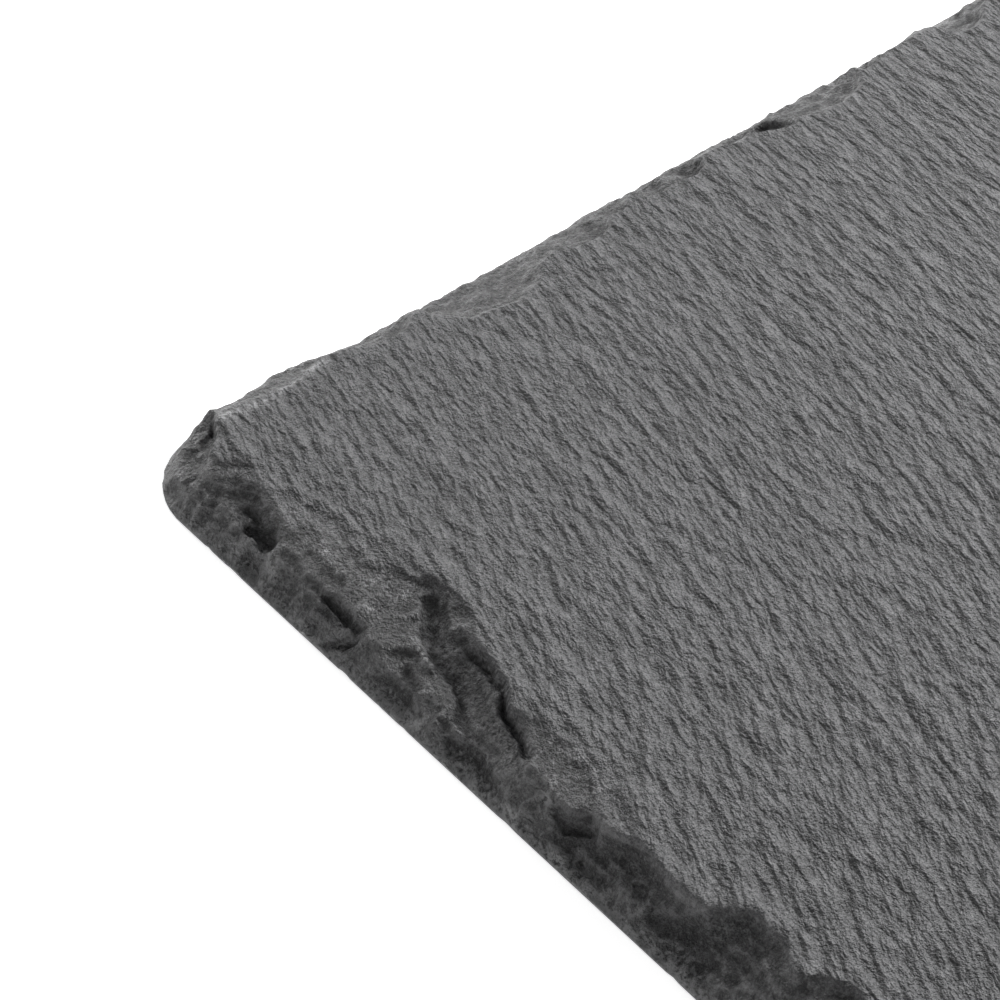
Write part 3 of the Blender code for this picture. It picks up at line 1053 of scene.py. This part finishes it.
def slate_material(sizes, colours):
    """Riven slate: streaked ripples on the split face with painted shade in their hollows and painted
    highlights on the streaks, dark broken stone in the scars with painted shade in its hollows, pale bruises.
    """
    material = bpy.data.materials.new("riven slate")
    material.use_nodes = True
    tree = material.node_tree
    nodes = StoneNodes(tree, colours)
    nodes.make_patterns()
    whole = nodes.patterns["whole"]
    relief = nodes.mix(whole, nodes.total(SCAR_RELIEF), nodes.total(FACE_RELIEF))
    bump = nodes.add("ShaderNodeBump", {"Strength": 1.0, "Distance": sizes.fine_relief, "Height": relief})

    face = nodes.coated(nodes.paints["hollow"], FACE_COATS)
    scar = nodes.coated(nodes.paints["broken"], SCAR_COATS)
    stone = nodes.coated(nodes.blend(nodes.patterns["border"], scar, face), LAST_COATS)
    rough = nodes.mix(whole, SCAR_ROUGHNESS, FACE_ROUGHNESS)
    rough = nodes.maths("MULTIPLY_ADD", nodes.patterns["grit"], GRIT_ROUGHNESS, rough)

    finish = tree.nodes["Principled BSDF"]
    tree.links.new(stone, finish.inputs["Base Color"])
    tree.links.new(rough, finish.inputs["Roughness"])
    tree.links.new(bump.outputs[0], finish.inputs["Normal"])
    finish.inputs["Specular IOR Level"].default_value = STONE_SPECULAR
    return material


def input_name(tree, name):
    """The identifier of one of the tree's inputs."""
    for item in tree.interface.items_tree:
        if item.item_type == "SOCKET" and item.in_out == "INPUT" and item.name == name:
            return item.identifier
    raise KeyError(name)


class SLATE_OT_slab(bpy.types.Operator):
    """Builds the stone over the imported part's solid"""

    bl_idname = "slate.slab"
    bl_label = "Slate slab"

    def execute(self, context):
        sizes = context.scene.slate_sizes
        stone = slate_material(sizes, context.scene.slate_colours)
        rough = bpy.data.objects.new("slab_before_ripples", stone_mesh())
        context.scene.collection.objects.link(rough)
        describe_surface(rough.data)

        tree = ripple_tree()
        ripples = rough.modifiers.new("ripples", "NODES")
        ripples.node_group = tree
        for name, value in (
            ("Ripple height", sizes.ripple_height),
            ("Ripple spacing", sizes.ripple_spacing),
            ("Streak length", sizes.streak_length),
            ("Seed", sizes.seed),
            ("Stone", stone),
        ):
            ripples[input_name(tree, name)] = value
        thin = rough.modifiers.new("thin", "DECIMATE")
        thin.ratio = MOST_TRIANGLES / len(rough.data.polygons)
        context.view_layer.update()
        graph = context.evaluated_depsgraph_get()
        mesh = bpy.data.meshes.new_from_object(rough.evaluated_get(graph))
        bpy.data.objects.remove(rough, do_unlink=True)

        mesh.name = "stone"
        keep_inside(mesh, CAD_LOW, CAD_HIGH)
        describe_surface(mesh)
        mesh.shade_smooth()
        mesh.set_sharp_from_angle(angle=SHARP_ANGLE)
        slab = bpy.data.objects.new("slab", mesh)
        context.scene.collection.objects.link(slab)
        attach(slab, "root")
        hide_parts(NODE)
        return {"FINISHED"}


# The photographed corner's view: where the camera looks, from which side and how far away
TARGET = Vector((-0.1121, -0.0636, 0.0))
AZIMUTH = math.radians(49.05)
ELEVATION = math.radians(45.10)
DISTANCE = 0.24
FOCAL_LENGTH = 85.0
SENSOR = 36.0
NEAR_CLIP = 0.01

WHITE = (1.0, 1.0, 1.0, 1.0)
FLOOR_SIZE = 6.0
FLOOR_GLOW = 0.62
FLOOR_ROUGHNESS = 0.9
FLOOR_SPECULAR = 0.1
FLOOR_CLOUDS = 3.0
FLOOR_LIGHTER = 1.01
AMBIENT = 0.39
LAMP_DISTANCE = 0.5


class Lamp(NamedTuple):
    """A square soft light: turn is how far it stands to the left of straight behind, in degrees."""

    name: str
    turn: float
    elevation: float
    size: float
    power: float


LAMPS = (
    Lamp("key light", -42, 34, 0.15, 4.35),
    Lamp("back light", 40, 9, 0.2, 1.1),
)


def floor_material(colours):
    """A matt, nearly white floor."""
    material = bpy.data.materials.new("pale floor")
    material.use_nodes = True
    tree = material.node_tree
    nodes = Nodes(tree)
    finish = tree.nodes["Principled BSDF"]
    place = nodes.add("ShaderNodeTexCoord").outputs["Object"]
    cloud = nodes.noise(place, FLOOR_CLOUDS)
    tone = nodes.add("ShaderNodeMix", {0: cloud}, data_type="RGBA")
    tone.inputs[6].default_value = (*colours.floor, 1.0)
    tone.inputs[7].default_value = (*(min(1.0, FLOOR_LIGHTER * part) for part in colours.floor), 1.0)
    tree.links.new(tone.outputs[2], finish.inputs["Base Color"])
    finish.inputs["Roughness"].default_value = FLOOR_ROUGHNESS
    finish.inputs["Specular IOR Level"].default_value = FLOOR_SPECULAR
    finish.inputs["Emission Color"].default_value = WHITE
    finish.inputs["Emission Strength"].default_value = FLOOR_GLOW
    return material


def direction(heading, rise):
    """The way from the slab to a place at a heading round it, which is 0 in front, and at a rise."""
    level = math.cos(rise)
    return Vector((math.sin(heading) * level, -math.cos(heading) * level, math.sin(rise)))


class SLATE_OT_stage(bpy.types.Operator):
    """Lays the pale floor, sets the soft lights and places the camera at the photograph's angle"""

    bl_idname = "slate.stage"
    bl_label = "Stage, light and camera"

    def execute(self, context):
        scene = context.scene
        back = direction(AZIMUTH, ELEVATION)
        right = Vector((math.cos(AZIMUTH), math.sin(AZIMUTH), 0.0))
        up = back.cross(right)

        lens = bpy.data.cameras.new("camera")
        lens.lens = FOCAL_LENGTH
        lens.sensor_width = SENSOR
        lens.clip_start = NEAR_CLIP
        camera = bpy.data.objects.new("camera", lens)
        turn = Matrix((right, up, back)).transposed().to_4x4()
        camera.matrix_world = Matrix.Translation(TARGET + back * DISTANCE) @ turn
        scene.collection.objects.link(camera)
        scene.camera = camera

        half = FLOOR_SIZE / 2
        plane = bpy.data.meshes.new("floor")
        corners = [(-half, -half, 0), (half, -half, 0), (half, half, 0), (-half, half, 0)]
        plane.from_pydata(corners, [], [(0, 1, 2, 3)])
        plane.materials.append(floor_material(scene.slate_colours))
        floor = bpy.data.objects.new("floor", plane)
        scene.collection.objects.link(floor)

        world = bpy.data.worlds.new("soft light")
        world.use_nodes = True
        sky = world.node_tree.nodes["Background"]
        sky.inputs["Color"].default_value = WHITE
        sky.inputs["Strength"].default_value = AMBIENT
        scene.world = world

        for lamp in LAMPS:
            towards = direction(AZIMUTH + math.pi + math.radians(lamp.turn), math.radians(lamp.elevation))
            light = bpy.data.lights.new(lamp.name, "AREA")
            light.size = lamp.size
            light.energy = lamp.power
            hung = bpy.data.objects.new(lamp.name, light)
            facing = towards.to_track_quat("Z", "Y").to_matrix().to_4x4()
            hung.matrix_world = Matrix.Translation(towards * LAMP_DISTANCE) @ facing
            scene.collection.objects.link(hung)

        scene.view_settings.view_transform = "Standard"
        return {"FINISHED"}


class SLATE_PT_panel(bpy.types.Panel):
    """Lists the slab's sizes, colours and steps"""

    bl_label = "Slate slab"
    bl_idname = "SLATE_PT_panel"
    bl_space_type = "VIEW_3D"
    bl_region_type = "UI"
    bl_category = "Slate"

    def draw(self, context):
        for name in ("slate_sizes", "slate_colours"):
            group = getattr(context.scene, name)
            for field in group.bl_rna.properties:
                if not field.is_readonly and field.identifier != "name":
                    self.layout.prop(group, field.identifier)
        self.layout.operator(SLATE_OT_slab.bl_idname)
        self.layout.operator(SLATE_OT_stage.bl_idname)


CLASSES = (SlateSizes, SlateColours, SLATE_OT_slab, SLATE_OT_stage, SLATE_PT_panel)


def register():
    for kind in CLASSES:
        bpy.utils.register_class(kind)
    bpy.types.Scene.slate_sizes = PointerProperty(type=SlateSizes)
    bpy.types.Scene.slate_colours = PointerProperty(type=SlateColours)


def unregister():
    del bpy.types.Scene.slate_colours
    del bpy.types.Scene.slate_sizes
    for kind in reversed(CLASSES):
        bpy.utils.unregister_class(kind)


def main():
    register()
    bpy.ops.slate.slab()
    bpy.ops.slate.stage()


if __name__ == "__main__":
    main()
